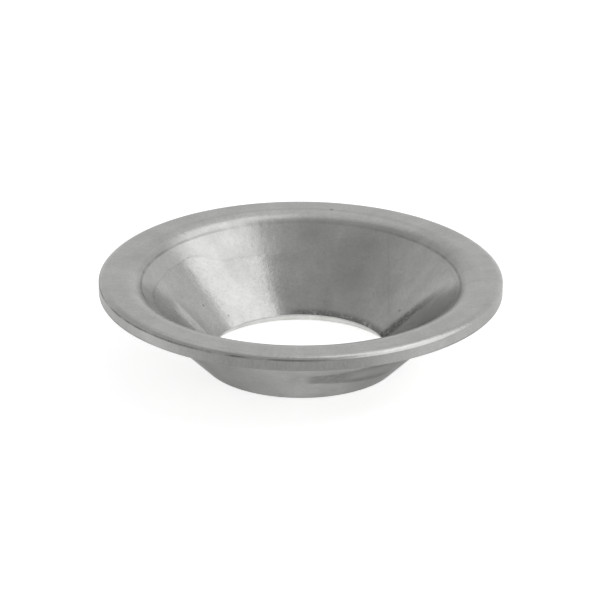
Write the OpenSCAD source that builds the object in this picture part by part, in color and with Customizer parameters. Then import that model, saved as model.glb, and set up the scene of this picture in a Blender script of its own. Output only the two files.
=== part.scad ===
// Finishing cup washer: one pressed sheet, a flat flange bent down into a cone
// with a hole at its foot. All sizes are in millimetres.
// The foot stands on z = 0, the axis is Z, and the flange is on top.

/* [Hole] */
// Diameter of the hole that the screw passes through
hole_d = 7.8; // [6:0.1:14]
// Height of the straight wall of the hole
land_h = 0.06; // [0.04:0.02:0.2]

/* [Cup] */
// Height from the foot to the top of the flange
overall_h = 4; // [3:0.1:8]
// Full angle of the cone that the screw head sits in
seat_angle = 90; // [80:1:110]
// Width of the flat ring that the cup stands on
foot_w = 0.15; // [0.1:0.05:0.2]

/* [Sheet] */
// Thickness of the sheet
sheet_t = 0.65; // [0.5:0.05:1]
// Radius of the bend, on its underside
bend_r = 0.6; // [0.3:0.1:2]

/* [Flange] */
// Width of the flat seat under the flange
rim_w = 1; // [0.8:0.05:4]
// Width of the rounding that the press left on the top outer edge
roll_w = 0.35; // [0.25:0.05:0.7]
// Drop of that rounding at the outer edge
roll_d = 0.17; // [0.08:0.01:0.2]

/* [Hidden] */
$fn = 180;

half_angle = seat_angle / 2;
hole_r = hole_d / 2;
top_bend_r = bend_r + sheet_t;

// Height at which the cone meets the hole's straight wall
cone_end_z = (sheet_t / cos(half_angle) + land_h / tan(half_angle) - foot_w)
    / (tan(half_angle) + 1 / tan(half_angle));
land_end_z = cone_end_z - land_h;
foot_in_r = hole_r + land_end_z / tan(half_angle);
foot_out_r = foot_in_r + foot_w;

// Where the cone would meet the flange if the corner were sharp
corner_r = hole_r + (overall_h - cone_end_z) * tan(half_angle);
bend_at_r = corner_r + top_bend_r * tan((90 - half_angle) / 2);
bend_at_z = overall_h - top_bend_r;
rim_r = bend_at_r + rim_w;

// Circle of the rounding, which touches the flat top and drops to the edge
roll_r = (roll_w * roll_w + roll_d * roll_d) / (2 * roll_d);
roll_at_r = rim_r - roll_w;

// A point on a ray from the bend's centre
function bend_point(angle, r) = [
    bend_at_r + r * cos(angle),
    bend_at_z + r * sin(angle)
];

// Everything under one face of the sheet, which runs along the flange, round
// the bend at the given radius and down the cone
module under_face(r) {
    wall_side = 180 - half_angle;
    reach = 3 * rim_r;
    polygon([
        bend_point(90, r),
        bend_point(wall_side, r),
        bend_point(wall_side, r) - reach * [sin(half_angle), cos(half_angle)],
        [bend_at_r + reach, -reach],
        [bend_at_r + reach, bend_at_z + r]
    ]);
    translate([bend_at_r, bend_at_z])
        circle(r = r);
}

// Section of the bent sheet, of even thickness between its two faces
module sheet_section() {
    difference() {
        under_face(top_bend_r);
        under_face(bend_r);
    }
}

// Rounded top of the rim, down from the flange's flat top to the edge
module roll_section() {
    intersection() {
        translate([bend_at_r, overall_h - sheet_t])
            square([rim_w, 2 * sheet_t]);
        translate([roll_at_r, overall_h - roll_r])
            circle(r = roll_r);
    }
}

// Outline that the sheet is cut to: the hole's wall and its slanted end, the
// foot, the straight sheared edge and the rounding over it
module cut_section() {
    polygon([
        [hole_r, land_end_z],
        [foot_in_r, 0],
        [roll_at_r, 0],
        [roll_at_r, overall_h + sheet_t],
        [hole_r, overall_h + sheet_t]
    ]);
    translate([bend_at_r, 0])
        square([rim_w, overall_h - roll_d]);
    roll_section();
}

// The whole washer, its section turned round the axis
module cup_washer() {
    color([0.5, 0.5, 0.49])
        rotate_extrude()
            intersection() {
                sheet_section();
                cut_section();
            }
}

cup_washer();
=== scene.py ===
"""Finishing cup washer of satin stainless steel, on a white floor under soft studio light."""
import math

import bpy
from mathutils import Matrix, Vector


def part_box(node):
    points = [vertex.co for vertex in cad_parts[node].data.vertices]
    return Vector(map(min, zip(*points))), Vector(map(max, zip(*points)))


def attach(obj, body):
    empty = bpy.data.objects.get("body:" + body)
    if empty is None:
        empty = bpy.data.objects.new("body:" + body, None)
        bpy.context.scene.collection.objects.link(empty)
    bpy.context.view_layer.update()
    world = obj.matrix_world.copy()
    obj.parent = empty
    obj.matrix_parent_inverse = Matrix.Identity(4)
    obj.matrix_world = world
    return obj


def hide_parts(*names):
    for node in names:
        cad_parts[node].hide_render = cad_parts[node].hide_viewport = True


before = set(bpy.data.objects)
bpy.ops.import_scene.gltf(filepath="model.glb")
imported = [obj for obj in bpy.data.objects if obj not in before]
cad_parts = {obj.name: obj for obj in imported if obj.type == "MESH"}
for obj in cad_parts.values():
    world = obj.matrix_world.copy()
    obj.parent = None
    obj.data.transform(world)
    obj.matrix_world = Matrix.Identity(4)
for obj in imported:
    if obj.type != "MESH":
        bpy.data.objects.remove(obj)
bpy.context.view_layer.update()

# The washer's sizes, in millimetres, as in the part's source
MM = 0.001
WASHER = "cup_washer"
box_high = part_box(WASHER)[1]
RIM_R = box_high[0] / MM
HEIGHT = box_high[2] / MM
SHEET = 0.65
HOLE_R = 3.9
HALF_ANGLE = math.radians(45)
BEND_R = 0.6
LAND_H = 0.06
FOOT_W = 0.15
ROLL_W = 0.35
ROLL_D = 0.17

# Sizes that follow from these
SLOPE = math.tan(HALF_ANGLE)
CONE_END = (SHEET / math.cos(HALF_ANGLE) + LAND_H / SLOPE - FOOT_W) / (SLOPE + 1 / SLOPE)
LAND_END = CONE_END - LAND_H
FOOT_IN = HOLE_R + LAND_END / SLOPE
FOOT_OUT = FOOT_IN + FOOT_W
FLANGE_UNDER = HEIGHT - SHEET

# Steps of the mesh, round the axis and along the stretches of its section
TURN_STEPS = 320
WALL_STEPS = 30
UPPER_BEND_STEPS = 28
FLANGE_STEPS = 6
ROLL_STEPS = 14
EDGE_STEPS = 3
SEAT_STEPS = 8
LOWER_BEND_STEPS = 18
CONE_STEPS = 24
CUT_STEPS = 2

# The camera, from the shape of the ellipses in the photo
CAMERA_ELEVATION = math.radians(23.25)
CAMERA_ROLL = 0.0039
CAMERA_REACH = 24.54 * RIM_R
CAMERA_LENS = 297.0
CAMERA_SENSOR = 36.0
CAMERA_NEAR = 0.005
AIM_DROP = 0.1326 * RIM_R
AIM_ASIDE = -0.0034 * RIM_R

# Steel: its colour as it reflects white light, its shine, and how much is left of it at a glancing angle,
# with less left on the outside as painted shade for the shadowed floor that the cone's sides reflect
STEEL = (0.52, 0.519, 0.509)
METALLIC = 0.8
ROUGHNESS = 0.21
PEBBLED_ROUGHNESS = 0.07
GLANCING = 0.72
OUTSIDE_GLANCING_PAINTED_SHADE = 0.37

# Noises in the steel: marks to a millimetre, detail and roughness
GRAIN = (7.0, 3.0, 0.7)
MOTTLE = (0.7, 5.0, 0.62)
PEBBLE = (4.2, 2.0, 0.6)
SPECKS = (11.0, 2.0, 0.6)
WANDER = (0.8, 3.0, 0.5)
BREAKS = (1.6, 3.0, 0.5)

# Upright streaks: how close they lie round the axis and how often they break up the wall
WALL_STREAKS = (11.0, 0.5)
SHEAR_STREAKS = (90.0, 2.5)

# The noise that is drawn out into streaks: scale, detail and roughness
STREAK_NOISE = (1.0, 3.0, 0.6)

# How far the noises change the steel's tone
MOTTLE_TONE = 0.35
MOTTLE_TONE_MORE_IN_CUP = 0.15
GRAIN_TONE = 0.28
STREAK_TONE = 0.16

# How far the noises raise the steel, in millimetres
MOTTLE_RELIEF = 0.014
STREAK_RELIEF = 0.004
PEBBLE_RELIEF = 0.003
PEBBLE_RELIEF_MORE = 0.005
GRAIN_RELIEF = 0.002

# Radii, and then shares of facing up, between which the parts of the surface fade in
CUP_FADE = (7.5, 7.0)
RIM_FADE = (RIM_R - 0.12, RIM_R - 0.04)
FACING_UP = (0.2, 0.6)
FACING_DOWN = (-0.2, -0.6)
FACING_ASIDE = (0.4, 0.15)

# Share of a soft mark's reach within which it is full
FULL_SHARE = 0.4

# Height up to which the punch pressed the cup's wall smooth, and how far that wanders, dips and rises
SMOOTH_TOP = 3.06
SMOOTH_WANDER = 0.2
SMOOTH_DIP = 0.5
SMOOTH_RISE = 0.4

# Height of the painted dark line round the mouth and of the top of the painted shade above it, and that
# shade's strength
MOUTH_LINE = 3.64
MOUTH_SHADE_TOP = 3.8
MOUTH_SHADE = 0.36

# Strength of the painted light patch on the left, beside its painted light streak
LEFT_WALL_LIGHT_PATCH = 0.22

# Small dents: bearing from the front in degrees, height, radius and size
PITS = [
    (-118.3, 1.50, 4.99, 0.09),
    (-130.7, 0.82, 4.31, 0.08),
    (114.7, 1.43, 4.91, 0.10),
    (169.8, 4.00, 7.91, 0.12),
]

# Soft dull patches at the back of the cup: bearing, height, radius and size
DULL_PATCHES = [
    (153.2, 2.90, 6.39, 1.6),
    (175.1, 3.22, 6.71, 1.4),
    (153.2, 2.00, 5.49, 1.4),
    (131.1, 1.80, 5.29, 0.9),
]

# The floor, in metres, with its glow and its paint
FLOOR_R = 3.0
FLOOR_SIDES = 96
FLOOR_LEVEL = -0.00001
FLOOR_GLOW = 0.6
FLOOR_PAINT = (0.84, 0.84, 0.84, 1)

# The studio's light: from the ceiling, more from the walls, and more on the right, at the front and the back
STUDIO_WHITE = (1, 1, 1, 1)
CEILING_LIGHT = 0.37
CEILING_EDGE = 0.9
WALL_LIGHT = 0.62
RIGHT_LIGHT = 0.1
END_WALLS = (0.6, 0.95)
END_WALL_LIGHT = 0.11

# Paler patches of the ceiling: direction, the cosines that each fades between, and light
CEILING_PATCHES = [
    ((0.0, 0.41, 0.91), (0.86, 0.96), 0.36),
    ((0.284, 0.142, 0.948), (0.95, 0.995), 0.75),
]

# The bright panel overhead: height in metres, place and size in parts of that height, and brightness
PANEL_HEIGHT = 0.4
PANEL_PLACE = (0.925, 0.01, 1)
PANEL_SIZE = (1.05, 1.22)
PANEL_BRIGHTNESS = 1.08


def arc(centre, radius, start, end, steps):
    """Points of a section's arc, from one angle to another."""
    points = []
    for step in range(steps + 1):
        angle = start + (end - start) * step / steps
        points.append((centre[0] + radius * math.cos(angle), centre[1] + radius * math.sin(angle)))
    return points


def line(start, end, steps):
    """Points of a straight stretch of the section."""
    points = []
    for step in range(steps + 1):
        part = step / steps
        points.append((start[0] + (end[0] - start[0]) * part, start[1] + (end[1] - start[1]) * part))
    return points


def bend_arcs():
    """The bend's arcs on the upper and the lower face of the sheet."""
    upper_r = BEND_R + SHEET
    corner = HOLE_R + (HEIGHT - CONE_END) * SLOPE
    middle = (corner + upper_r * math.tan((math.pi / 2 - HALF_ANGLE) / 2), HEIGHT - upper_r)
    wall_side = math.pi - HALF_ANGLE
    upper = arc(middle, upper_r, wall_side, math.pi / 2, UPPER_BEND_STEPS)
    lower = arc(middle, BEND_R, math.pi / 2, wall_side, LOWER_BEND_STEPS)
    return upper, lower


def roll_arc():
    """The rounding on the flange's outer edge, which ends at the sheared edge."""
    radius = (ROLL_W**2 + ROLL_D**2) / (2 * ROLL_D)
    middle = (RIM_R - ROLL_W, HEIGHT - radius)
    return arc(middle, radius, math.pi / 2, math.acos(ROLL_W / radius), ROLL_STEPS)


def washer_section():
    """The stretches of the washer's section, each smooth in itself, from the hole up and round."""
    upper_bend, lower_bend = bend_arcs()
    roll = roll_arc()
    hole_top = (HOLE_R, CONE_END)
    hole_foot = (HOLE_R, LAND_END)
    foot_in = (FOOT_IN, 0.0)
    foot_out = (FOOT_OUT, 0.0)
    edge_foot = (RIM_R, FLANGE_UNDER)
    top = line(hole_top, upper_bend[0], WALL_STEPS)[:-1] + upper_bend
    top += line(upper_bend[-1], roll[0], FLANGE_STEPS)[1:-1] + roll
    under = line(edge_foot, lower_bend[0], SEAT_STEPS)[:-1] + lower_bend
    under += line(lower_bend[-1], foot_out, CONE_STEPS)[1:]
    return [
        top,
        line(roll[-1], edge_foot, EDGE_STEPS),
        under,
        line(foot_out, foot_in, 1),
        line(foot_in, hole_foot, CUT_STEPS),
        line(hole_foot, hole_top, 1),
    ]


def turned_points(section):
    """The section's points turned round Z, one ring after another, in metres."""
    verts = []
    for radius, height in section:
        for step in range(TURN_STEPS):
            angle = 2 * math.pi * step / TURN_STEPS
            verts.append((radius * MM * math.cos(angle), radius * MM * math.sin(angle), height * MM))
    return verts


def turned_faces(rings):
    """The faces between each ring and the next, the last joined to the first."""
    faces = []
    for ring in range(rings):
        here = ring * TURN_STEPS
        there = (ring + 1) % rings * TURN_STEPS
        for step in range(TURN_STEPS):
            after = (step + 1) % TURN_STEPS
            faces.append((here + step, there + step, there + after, here + after))
    return faces


def turned_mesh(name, stretches):
    """A closed mesh of the section turned round Z, with sharp edges between its stretches."""
    section = []
    sharp_rings = set()
    for stretch in stretches:
        sharp_rings.add(len(section))
        section += stretch[:-1]
    mesh = bpy.data.meshes.new(name)
    mesh.from_pydata(turned_points(section), [], turned_faces(len(section)))
    mesh.polygons.foreach_set("use_smooth", [True] * len(mesh.polygons))
    for edge in mesh.edges:
        first, second = edge.vertices
        ring = first // TURN_STEPS
        edge.use_edge_sharp = ring == second // TURN_STEPS and ring in sharp_rings
    mesh.update()
    return mesh


class Nodes:
    """Adds nodes to one node tree and gives back their outputs."""

    def __init__(self, tree):
        self.tree = tree

    def add(self, kind, inputs=None, **settings):
        """A node, with values or links on the named inputs."""
        item = self.tree.nodes.new(kind)
        for name, value in settings.items():
            setattr(item, name, value)
        for name, value in (inputs or {}).items():
            if isinstance(value, bpy.types.NodeSocket):
                self.tree.links.new(value, item.inputs[name])
            else:
                item.inputs[name].default_value = value
        return item

    def calc(self, operation, first, second=0.0, third=0.0):
        """The result of a math node."""
        inputs = {0: first, 1: second, 2: third}
        return self.add("ShaderNodeMath", inputs, operation=operation).outputs[0]

    def vector(self, operation, first, second=(0, 0, 0)):
        """The vector that a vector math node gives."""
        inputs = {0: first, 1: second}
        return self.add("ShaderNodeVectorMath", inputs, operation=operation).outputs["Vector"]

    def measure(self, operation, first, second=(0, 0, 0)):
        """The number that a vector math node gives."""
        inputs = {0: first, 1: second}
        return self.add("ShaderNodeVectorMath", inputs, operation=operation).outputs["Value"]

    def linear(self, value, factor, base):
        """A value times a factor, plus a base."""
        return self.calc("MULTIPLY_ADD", value, factor, base)

    def times(self, *values):
        """The product of several values."""
        product = values[0]
        for value in values[1:]:
            product = self.calc("MULTIPLY", product, value)
        return product

    def lowered(self, mask, amount):
        """A factor that is one, less an amount where the mask is full."""
        return self.linear(mask, -amount, 1.0)

    def varied(self, value, amount):
        """A factor round one, which follows a value round one half by an amount."""
        return self.linear(value, amount, 1.0 - amount / 2)

    def size(self, value):
        """A value without its sign."""
        return self.calc("ABSOLUTE", value)

    def gap(self, value, middle):
        """How far a value is from a middle."""
        return self.size(self.calc("SUBTRACT", value, middle))

    def ramp(self, value, start, end, low=0.0, high=1.0):
        """A smooth step from low to high, as the value goes from start to end."""
        inputs = {"Value": value, "From Min": start, "From Max": end, "To Min": low, "To Max": high}
        return self.add("ShaderNodeMapRange", inputs, interpolation_type="SMOOTHSTEP").outputs[0]

    def between(self, value, start, end, soft):
        """One between start and end, falling to nothing over a soft margin."""
        rising = self.ramp(value, start - soft, start + soft)
        falling = self.ramp(value, end - soft, end + soft, 1.0, 0.0)
        return self.times(rising, falling)

    def close_to(self, value, middle, reach):
        """One at the middle value, falling to nothing at a distance of reach."""
        return self.ramp(self.gap(value, middle), reach, reach * FULL_SHARE)

    def noise(self, vector, kind):
        """A noise value round one half, with the scale, detail and roughness of its kind."""
        scale, detail, roughness = kind
        inputs = {"Vector": vector, "Scale": scale, "Detail": detail, "Roughness": roughness}
        return self.add("ShaderNodeTexNoise", inputs).outputs[0]


class Surface(Nodes):
    """Where a shaded point is on the washer, in millimetres and radians, and the noises there."""

    def __init__(self, tree):
        super().__init__(tree)
        coords = self.add("ShaderNodeTexCoord").outputs
        self.find_place(coords["Object"])
        self.find_parts(coords["Normal"])
        self.grain = self.noise(self.place, GRAIN)
        self.mottle = self.noise(self.place, MOTTLE)
        self.wander = self.noise(self.place, WANDER)
        self.wall_streaks = self.streaks(*WALL_STREAKS)
        self.above_smooth = self.calc("SUBTRACT", self.height, self.smooth_top())
        self.cut_end = self.find_cut_end()

    def find_place(self, metres):
        """Place, radius and height, and the bearings from the front and from the back."""
        self.place = self.vector("MULTIPLY", metres, (1 / MM, 1 / MM, 1 / MM))
        flat = self.vector("MULTIPLY", self.place, (1, 1, 0))
        self.around = self.vector("NORMALIZE", flat)
        self.radius = self.measure("LENGTH", flat)
        self.aside, self.depth, self.height = self.add("ShaderNodeSeparateXYZ", {0: self.place}).outputs
        self.bearing = self.calc("ARCTAN2", self.aside, self.calc("MULTIPLY", self.depth, -1.0))
        self.back_bearing = self.calc("ARCTAN2", self.aside, self.depth)

    def find_parts(self, normal):
        """Masks of the cup, the rim, and the faces inside, under and upright."""
        facing = self.add("ShaderNodeSeparateXYZ", {0: normal}).outputs["Z"]
        self.cup = self.ramp(self.radius, *CUP_FADE)
        self.rim = self.ramp(self.radius, *RIM_FADE)
        self.inside = self.ramp(facing, *FACING_UP)
        self.under = self.ramp(facing, *FACING_DOWN)
        self.upright = self.ramp(self.size(facing), *FACING_ASIDE)

    def find_cut_end(self):
        """A mask of the slanted end under the hole."""
        low = self.ramp(self.height, start=0.4, end=0.3)
        inner = self.ramp(self.radius, start=4.35, end=4.25)
        return self.times(self.under, low, inner)

    def smooth_top(self):
        """The height that the smooth wall ends at, lower at the back left and higher on the right."""
        uneven = self.linear(self.wander, SMOOTH_WANDER, SMOOTH_TOP - SMOOTH_WANDER / 2)
        dip = self.times(self.close_to(self.back_bearing, middle=-0.3, reach=0.6), SMOOTH_DIP)
        rise = self.times(self.ramp(self.aside, start=0.0, end=5.0), SMOOTH_RISE)
        return self.calc("ADD", self.calc("SUBTRACT", uneven, dip), rise)

    def streaks(self, round_scale, rise_scale):
        """Noise drawn out up and down the wall."""
        turn = self.vector("MULTIPLY", self.around, (round_scale, round_scale, round_scale))
        rise = self.vector("MULTIPLY", self.place, (0, 0, rise_scale))
        return self.noise(self.vector("ADD", turn, rise), STREAK_NOISE)

    def round_marks(self, marks, core):
        """Round marks at their places, full within a core share of their size and fading out from there."""
        mask = 0.0
        for bearing, height, radius, size in marks:
            angle = math.radians(bearing)
            middle = (radius * math.sin(angle), -radius * math.cos(angle), height)
            away = self.measure("DISTANCE", self.place, middle)
            mask = self.calc("MAXIMUM", mask, self.ramp(away, size, size * core))
        return mask


def rough_band(spot):
    """The pebbled part of the wall, above the smooth part and up to the flange."""
    above = spot.ramp(spot.above_smooth, start=-0.04, end=0.04)
    below_flange = spot.ramp(spot.height, start=3.98, end=3.85)
    return spot.times(above, below_flange, spot.inside)


def smooth_border(spot):
    """A faint line along the top of the smooth wall, on the left of the back."""
    thin = spot.close_to(spot.above_smooth, middle=0.0, reach=0.07)
    left = spot.ramp(spot.back_bearing, start=-0.2, end=-0.4)
    return spot.times(thin, spot.inside, left)


def sheared_edge(spot):
    """The whole of the sheared edge face."""
    return spot.times(spot.rim, spot.upright)


def front_edge(spot):
    """The front of the sheared edge, darker there as painted shade for the shadowed floor it reflects, with
    its own fine upright streaks.
    """
    streaks = spot.ramp(spot.streaks(*SHEAR_STREAKS), start=0.3, end=0.7, low=0.84)
    front = spot.close_to(spot.bearing, middle=-0.1, reach=0.75)
    return spot.times(spot.rim, spot.upright, streaks, front)


def upper_corner_painted_shade(spot):
    """Painted shade: a broken dark line along the upper corner of the sheared edge, on the left, for the dark
    surroundings that the rounded corner reflects.
    """
    thin = spot.close_to(spot.height, middle=HEIGHT - ROLL_D, reach=0.05)
    left = spot.ramp(spot.bearing, start=0.3, end=0.0)
    broken = spot.ramp(spot.wander, start=0.25, end=0.6)
    return spot.times(spot.rim, thin, left, broken)


def lower_corner_dark_line(spot):
    """A broken dark line along the lower corner of the sheared edge, away from the front."""
    thin = spot.ramp(spot.height, start=FLANGE_UNDER + 0.09, end=FLANGE_UNDER + 0.02)
    sideways = spot.ramp(spot.size(spot.bearing), start=0.5, end=0.9)
    broken = spot.ramp(spot.wander, start=0.3, end=0.6)
    return spot.times(spot.rim, thin, sideways, broken)


def pits(spot):
    """The small dents."""
    return spot.round_marks(PITS, core=0.4)


def dull_patches(spot):
    """The soft dull patches, broken up by the mottle."""
    patches = spot.round_marks(DULL_PATCHES, core=0.0)
    broken = spot.ramp(spot.mottle, start=0.3, end=0.65)
    return spot.times(patches, broken)


def stain(spot):
    """A grainy dark wedge on the outside of the cone, opening to the right of the front."""
    along = spot.ramp(spot.bearing, start=0.0, end=0.75)
    half_width = spot.linear(along, factor=0.4, base=0.3)
    share = spot.calc("DIVIDE", spot.gap(spot.height, middle=1.55), half_width)
    wedge = spot.ramp(share, start=1.15, end=0.8)
    inner = spot.times(spot.ramp(along, start=0.3, end=0.8), spot.ramp(share, start=0.8, end=0.2))
    hollow = spot.lowered(inner, amount=0.8)
    ends = spot.between(spot.bearing, start=0.06, end=0.8, soft=0.05)
    grainy = spot.ramp(spot.grain, start=0.25, end=0.55)
    return spot.times(spot.under, wedge, hollow, ends, grainy)


def hole_dark_specks(spot):
    """Dark specks just above the hole, at the back and on the right."""
    low = spot.ramp(spot.height, start=0.7, end=0.48)
    ends = spot.between(spot.back_bearing, start=-0.1, end=1.2, soft=0.1)
    grainy = spot.ramp(spot.grain, start=0.36, end=0.52)
    return spot.times(spot.inside, low, ends, grainy)


def scuff(spot):
    """A dark speckled streak up the wall on the right, which leans and narrows as it rises."""
    middle = spot.linear(spot.height, factor=-0.075, base=1.945)
    half_width = spot.linear(spot.height, factor=-0.018, base=0.1)
    share = spot.calc("DIVIDE", spot.gap(spot.bearing, middle), half_width)
    streak = spot.ramp(share, start=1.3, end=0.3)
    low = spot.ramp(spot.height, start=3.4, end=1.6)
    grainy = spot.ramp(spot.grain, start=0.3, end=0.55)
    return spot.times(spot.inside, low, streak, grainy)


def left_wall_painted_light(spot):
    """Painted light: a lighter streak up the left of the wall, with a fainter lighter patch beside it."""
    streak = spot.close_to(spot.bearing, middle=-1.70, reach=0.1)
    streak = spot.times(streak, spot.between(spot.height, start=0.9, end=2.2, soft=0.3))
    patch = spot.times(spot.close_to(spot.bearing, middle=-1.5, reach=0.35), LEFT_WALL_LIGHT_PATCH)
    patch = spot.times(patch, spot.between(spot.height, start=1.0, end=2.8, soft=0.4))
    return spot.times(spot.inside, spot.calc("MAXIMUM", streak, patch))


def mouth_painted_shade(spot):
    """Painted shade: a thin broken dark line round the mouth, where the wall meets the bend, and a band of
    shade above it, faint at the back.
    """
    thin = spot.close_to(spot.height, middle=MOUTH_LINE, reach=0.065)
    thin = spot.times(thin, spot.ramp(spot.grain, start=0.1, end=0.5))
    shade = spot.between(spot.height, start=MOUTH_LINE, end=MOUTH_SHADE_TOP, soft=0.06)
    shade = spot.times(shade, MOUTH_SHADE)
    sideways = spot.ramp(spot.size(spot.back_bearing), start=0.3, end=0.9, low=0.3)
    broken = spot.ramp(spot.noise(spot.place, BREAKS), start=0.36, end=0.6, low=0.6)
    return spot.times(spot.inside, sideways, broken, spot.calc("MAXIMUM", thin, shade))


def scratch(spot):
    """A fine upright scratch on the wall, at the back right."""
    thin = spot.close_to(spot.aside, middle=3.99, reach=0.04)
    length = spot.between(spot.height, start=1.2, end=3.5, soft=0.3)
    back = spot.ramp(spot.depth, start=1.0, end=2.0)
    return spot.times(spot.inside, thin, length, back)


def cut_end(spot):
    """The slanted end under the hole, lightened as painted light, so that it shows near white like the floor
    seen through the hole.
    """
    return spot.cut_end


def specks(spot):
    """Fine dark specks all over the cup."""
    fine = spot.ramp(spot.noise(spot.place, SPECKS), start=0.58, end=0.7)
    return spot.times(fine, spot.cup)


# Each mark, with how much darker it makes the steel, or lighter where that is below zero; some are painted
# light and shade, as their comments say
MARKS = [
    (smooth_border, 0.06),
    # Painted shade at the front of the edge, with the edge's own streaks
    (front_edge, 0.42),
    # Painted shade along the edge's upper corner
    (upper_corner_painted_shade, 0.5),
    (lower_corner_dark_line, 0.3),
    (pits, 0.36),
    (dull_patches, 0.2),
    (stain, 0.36),
    (hole_dark_specks, 0.5),
    (scuff, 0.58),
    (scratch, 0.07),
    # Painted shade round the mouth
    (mouth_painted_shade, 0.38),
    # Painted light on the slanted end under the hole
    (cut_end, -0.5),
    (specks, 0.12),
    (sheared_edge, 0.27),
    # Painted light on the left of the wall
    (left_wall_painted_light, -0.55),
]


def steel_colour(spot):
    """The steel's colour, uneven from its noises and changed by its marks, among them painted light and
    shade.
    """
    unevenness = spot.linear(spot.cup, MOTTLE_TONE_MORE_IN_CUP, MOTTLE_TONE)
    tone = spot.linear(spot.calc("SUBTRACT", spot.mottle, 0.5), unevenness, 1.0)
    tone = spot.times(tone, spot.varied(spot.grain, GRAIN_TONE))
    tone = spot.times(tone, spot.varied(spot.wall_streaks, STREAK_TONE))
    for mark, amount in MARKS:
        tone = spot.times(tone, spot.lowered(mark(spot), amount))
    colour = spot.add("ShaderNodeVectorMath", {0: STEEL, "Scale": tone}, operation="SCALE")
    return colour.outputs["Vector"]


def steel_relief(spot, pebbled):
    """The steel's fine relief: mottle and streaks all over, and more pebbles where it is pebbled."""
    relief = spot.times(spot.mottle, MOTTLE_RELIEF)
    relief = spot.linear(spot.wall_streaks, STREAK_RELIEF, relief)
    pebble_height = spot.linear(pebbled, PEBBLE_RELIEF_MORE, PEBBLE_RELIEF)
    pebbles = spot.times(spot.noise(spot.place, PEBBLE), pebble_height)
    relief = spot.calc("ADD", relief, pebbles)
    relief = spot.linear(spot.grain, GRAIN_RELIEF, relief)
    return spot.add("ShaderNodeBump", {"Height": relief, "Strength": 1.0, "Distance": MM}).outputs[0]


def steel_material():
    """Satin stainless sheet: pressed smooth low in the cup, pebbled above, fine grained on the flange."""
    material = bpy.data.materials.new("satin_steel")
    material.use_nodes = True
    tree = material.node_tree
    spot = Surface(tree)
    pebbled = rough_band(spot)
    outside = spot.times(spot.under, spot.lowered(spot.cut_end, 1.0))
    sockets = tree.nodes["Principled BSDF"].inputs
    sockets["Metallic"].default_value = METALLIC
    sockets["Specular IOR Level"].default_value = 0.0
    tree.links.new(steel_colour(spot), sockets["Base Color"])
    tree.links.new(steel_relief(spot, pebbled), sockets["Normal"])
    tree.links.new(spot.linear(pebbled, PEBBLED_ROUGHNESS, ROUGHNESS), sockets["Roughness"])
    # Less glancing reflection on the outside: painted shade for the shadowed floor that the cone's sides
    # reflect
    tree.links.new(spot.linear(outside, -OUTSIDE_GLANCING_PAINTED_SHADE, GLANCING), sockets["Specular Tint"])
    return material


def build_washer():
    """The washer, finely turned, in place of the CAD node of the same form."""
    mesh = turned_mesh("turned_washer", washer_section())
    mesh.materials.append(steel_material())
    washer = bpy.data.objects.new("turned_washer", mesh)
    bpy.context.scene.collection.objects.link(washer)
    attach(washer, "root")
    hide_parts(WASHER)


def floor_material():
    """White to the eye and in reflections, with the object's shadow on its paint."""
    material = bpy.data.materials.new("white_floor")
    material.use_nodes = True
    nodes = Nodes(material.node_tree)
    nodes.tree.nodes.clear()
    path = nodes.add("ShaderNodeLightPath").outputs
    mirrored = nodes.calc("MAXIMUM", path["Is Glossy Ray"], path["Is Transmission Ray"])
    seen = nodes.calc("MAXIMUM", mirrored, path["Is Camera Ray"])
    glow = nodes.add("ShaderNodeEmission", {"Strength": nodes.times(seen, FLOOR_GLOW)})
    paint = nodes.add("ShaderNodeBsdfDiffuse", {"Color": FLOOR_PAINT})
    both = nodes.add("ShaderNodeAddShader", {0: glow.outputs[0], 1: paint.outputs[0]})
    nodes.add("ShaderNodeOutputMaterial", {"Surface": both.outputs[0]})
    return material


def build_floor():
    """A wide round floor just under the foot."""
    bpy.ops.mesh.primitive_circle_add(
        vertices=FLOOR_SIDES,
        radius=FLOOR_R,
        fill_type="NGON",
        location=(0, 0, FLOOR_LEVEL),
    )
    floor = bpy.context.object
    floor.name = "floor"
    floor.data.materials.append(floor_material())


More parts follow.
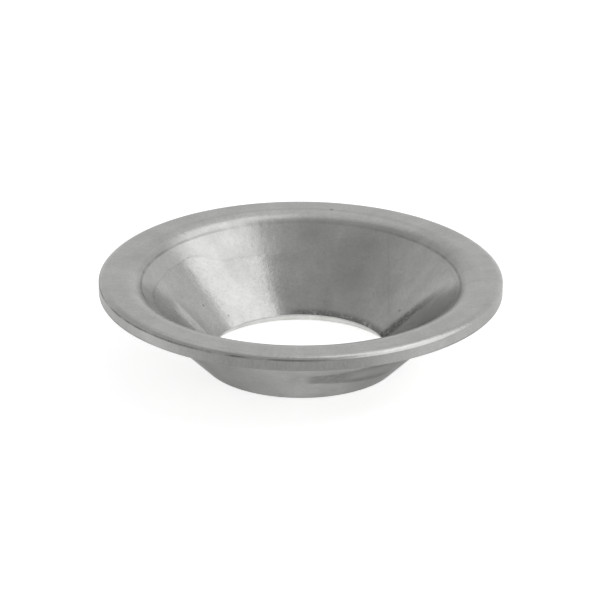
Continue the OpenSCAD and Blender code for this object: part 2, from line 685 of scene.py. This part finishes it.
def build_world():
    """A studio with a dim ceiling, two paler patches in it, and paler walls, of which the left is dimmest."""
    world = bpy.data.worlds.new("studio")
    bpy.context.scene.world = world
    world.use_nodes = True
    nodes = Nodes(world.node_tree)
    way = nodes.add("ShaderNodeTexCoord").outputs["Generated"]
    aside, ahead, up = nodes.add("ShaderNodeSeparateXYZ", {0: way}).outputs
    below = nodes.calc("MAXIMUM", nodes.calc("SUBTRACT", CEILING_EDGE, up), 0.0)
    level = nodes.linear(below, WALL_LIGHT, CEILING_LIGHT)
    level = nodes.linear(aside, RIGHT_LIGHT, level)
    for direction, fade, light in CEILING_PATCHES:
        patch = nodes.ramp(nodes.measure("DOT_PRODUCT", way, direction), *fade)
        level = nodes.linear(patch, light, level)
    ends = nodes.ramp(nodes.size(ahead), *END_WALLS)
    level = nodes.linear(ends, END_WALL_LIGHT, level)
    background = world.node_tree.nodes["Background"]
    background.inputs["Color"].default_value = STUDIO_WHITE
    world.node_tree.links.new(level, background.inputs["Strength"])


def build_panel():
    """A bright panel overhead on the right, which shows as an even patch in the steel."""
    lamp = bpy.data.lights.new("key_panel", "AREA")
    lamp.shape = "RECTANGLE"
    lamp.size = PANEL_SIZE[0] * PANEL_HEIGHT
    lamp.size_y = PANEL_SIZE[1] * PANEL_HEIGHT
    lamp.energy = PANEL_BRIGHTNESS * math.pi * lamp.size * lamp.size_y
    holder = bpy.data.objects.new("key_panel", lamp)
    bpy.context.scene.collection.objects.link(holder)
    holder.location = Vector(PANEL_PLACE) * PANEL_HEIGHT
    holder.visible_camera = False


def build_camera():
    """A long lens at the photo's angle, turned by the photo's slight tilt."""
    aim = Vector((AIM_ASIDE, 0, HEIGHT - AIM_DROP)) * MM
    away = Vector((0, -math.cos(CAMERA_ELEVATION), math.sin(CAMERA_ELEVATION)))
    camera = bpy.data.cameras.new("camera")
    camera.lens = CAMERA_LENS
    camera.sensor_width = CAMERA_SENSOR
    camera.clip_start = CAMERA_NEAR
    holder = bpy.data.objects.new("camera", camera)
    bpy.context.scene.collection.objects.link(holder)
    turn = away.to_track_quat("Z", "Y").to_matrix().to_4x4()
    place = Matrix.Translation(aim + away * CAMERA_REACH * MM)
    holder.matrix_world = place @ turn @ Matrix.Rotation(CAMERA_ROLL, 4, "Z")
    bpy.context.scene.camera = holder


bpy.context.scene.view_settings.view_transform = "Standard"
build_washer()
build_floor()
build_world()
build_panel()
build_camera()
